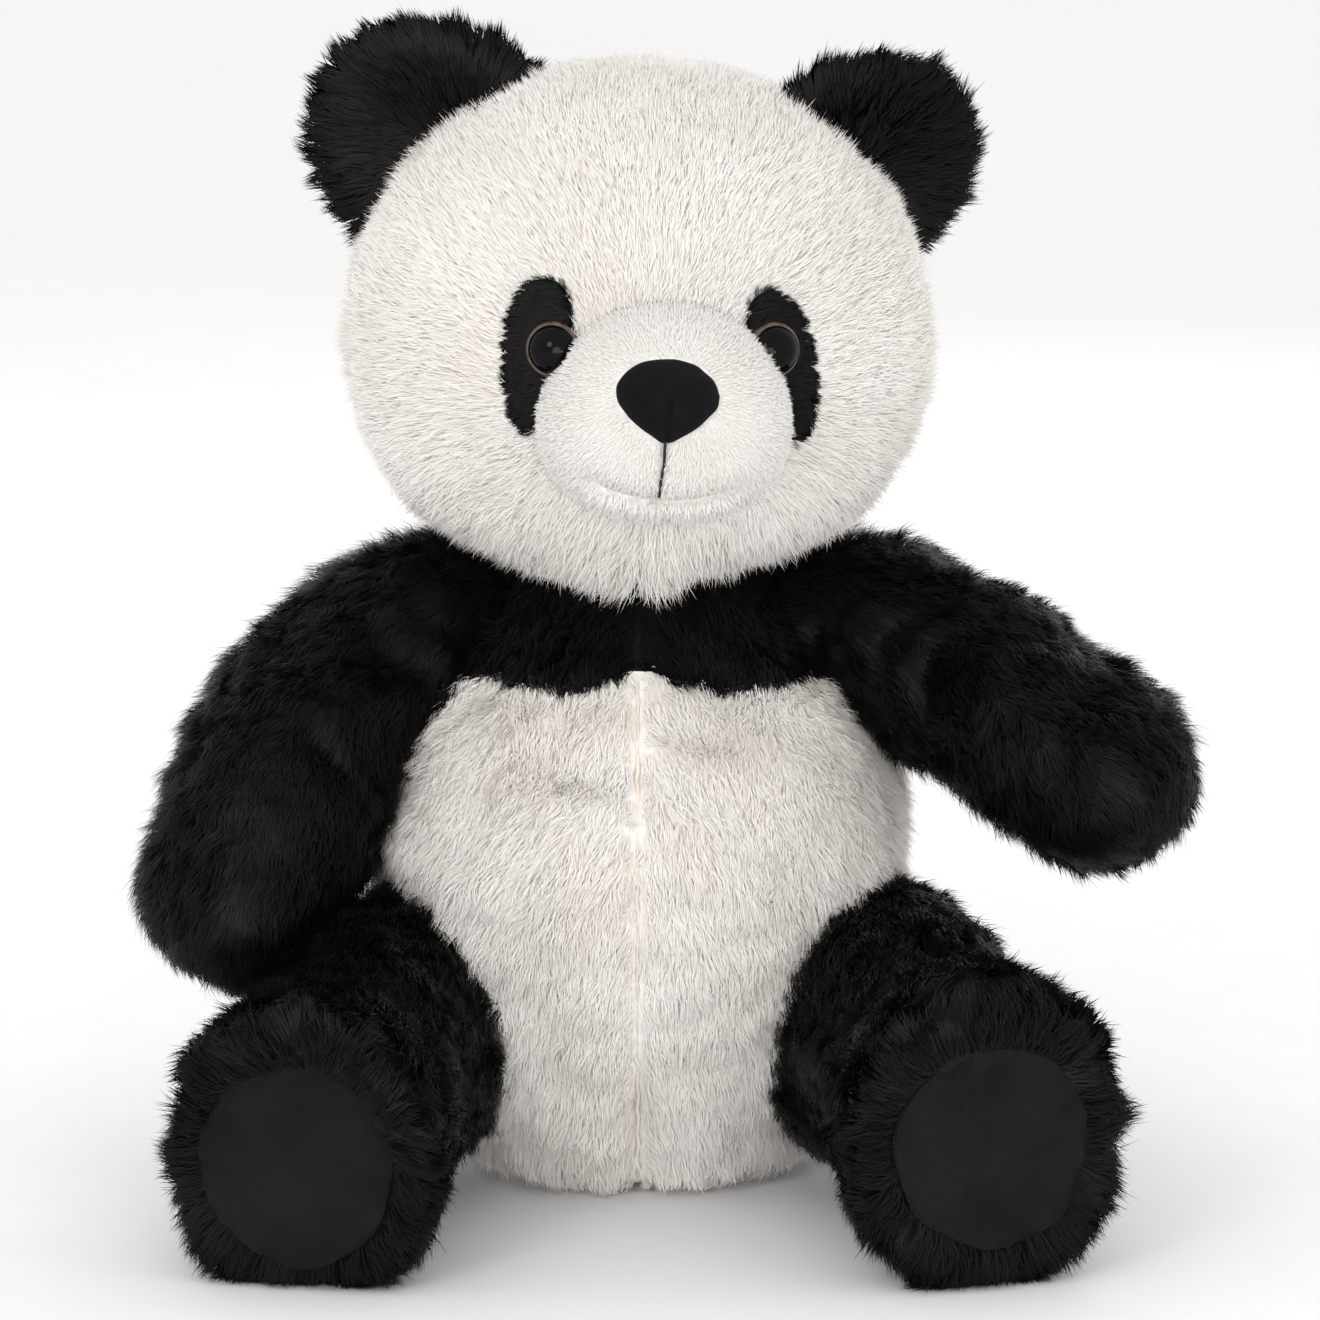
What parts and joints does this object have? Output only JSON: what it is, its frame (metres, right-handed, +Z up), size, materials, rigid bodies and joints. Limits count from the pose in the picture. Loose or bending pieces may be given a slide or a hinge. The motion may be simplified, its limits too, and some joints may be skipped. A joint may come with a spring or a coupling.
{
  "type": "plush panda",
  "caption": "Seated stuffed panda in black and white plush, with sewn head, arms and legs that flex at their seams, suede foot pads and safety eyes.",
  "frame": {"origin": "middle of the flat seat, on the surface that the toy sits on", "axes": "+Z up, the face and feet look along -Y, the toy's left is +X"},
  "size_m": [0.2597, 0.2014, 0.2868],
  "materials": {
    "white_plush": "soft pile",
    "black_plush": "soft pile",
    "white_short_plush": "short smooth pile",
    "black_short_plush": "short pile",
    "black_suede": "matte suede",
    "black_velour": "matte velour",
    "eye_plastic": "gloss",
    "washer_plastic": "matte",
    "dark_thread": "matte",
    "fibre_filling": "soft",
    "bean_bag_cloth": "matte"
  },
  "bodies": {
    "torso": {"belly_panel_left": "white_plush", "belly_panel_right": "white_plush", "back_panel_left": "white_plush", "back_panel_right": "white_plush", "chest_yoke": "black_plush", "back_yoke": "black_plush", "seat_panel": "white_plush", "torso_stuffing": "fibre_filling", "seat_bean_bag": "bean_bag_cloth", "tail": "white_plush"},
    "neck": {"neck_stuffing": "fibre_filling"},
    "head": {"forehead_panel": "white_plush", "face_panel_left": "white_plush", "face_panel_right": "white_plush", "head_back_left": "white_plush", "head_back_right": "white_plush", "muzzle_panel": "white_short_plush", "nose_patch": "black_velour", "mouth_stitching": "dark_thread", "eye_left": "eye_plastic", "eye_right": "eye_plastic", "eye_washer_left": "washer_plastic", "eye_washer_right": "washer_plastic", "eye_patch_left": "black_short_plush", "eye_patch_right": "black_short_plush", "ear_front_left": "black_plush", "ear_back_left": "black_plush", "ear_front_right": "black_plush", "ear_back_right": "black_plush", "head_stuffing": "fibre_filling"},
    "arm_left": {"arm_front_left": "black_plush", "arm_back_left": "black_plush", "arm_stuffing_left": "fibre_filling"},
    "leg_left": {"leg_upper_left": "black_plush", "leg_lower_left": "black_plush", "foot_surround_left": "black_plush", "foot_pad_left": "black_suede", "leg_stuffing_left": "fibre_filling"},
    "arm_right": {"arm_front_right": "black_plush", "arm_back_right": "black_plush", "arm_stuffing_right": "fibre_filling"},
    "leg_right": {"leg_upper_right": "black_plush", "leg_lower_right": "black_plush", "foot_surround_right": "black_plush", "foot_pad_right": "black_suede", "leg_stuffing_right": "fibre_filling"}
  },
  "joints": [
    {"name": "head_turn", "type": "hinge", "parent": "torso", "child": "neck", "pos_m": [0, 0.004, 0.152], "axis": [0, 0, 1], "range_deg": [-30, 30], "stiffness_Nm_per_rad": 0.3},
    {"name": "head_nod", "type": "hinge", "parent": "neck", "child": "head", "pos_m": [0, 0.004, 0.152], "axis": [0.9945, 0.1045, 0], "range_deg": [-10, 8], "stiffness_Nm_per_rad": 1.2},
    {"name": "arm_raise_left", "type": "hinge", "parent": "torso", "child": "arm_left", "pos_m": [0.058, 0, 0.138], "axis": [-0.6018, -0.7986, 0], "range_deg": [-12, 28], "stiffness_Nm_per_rad": 0.35},
    {"name": "arm_raise_right", "type": "hinge", "parent": "torso", "child": "arm_right", "pos_m": [-0.058, 0, 0.138], "axis": [-0.682, 0.7314, 0], "range_deg": [-3, 45], "stiffness_Nm_per_rad": 0.35},
    {"name": "leg_spread_left", "type": "hinge", "parent": "torso", "child": "leg_left", "pos_m": [0.057, -0.018, 0.033], "axis": [0, 0, 1], "range_deg": [-8, 8], "stiffness_Nm_per_rad": 0.5},
    {"name": "leg_spread_right", "type": "hinge", "parent": "torso", "child": "leg_right", "pos_m": [-0.057, -0.018, 0.033], "axis": [0, 0, -1], "range_deg": [-8, 8], "stiffness_Nm_per_rad": 0.5}
  ]
}
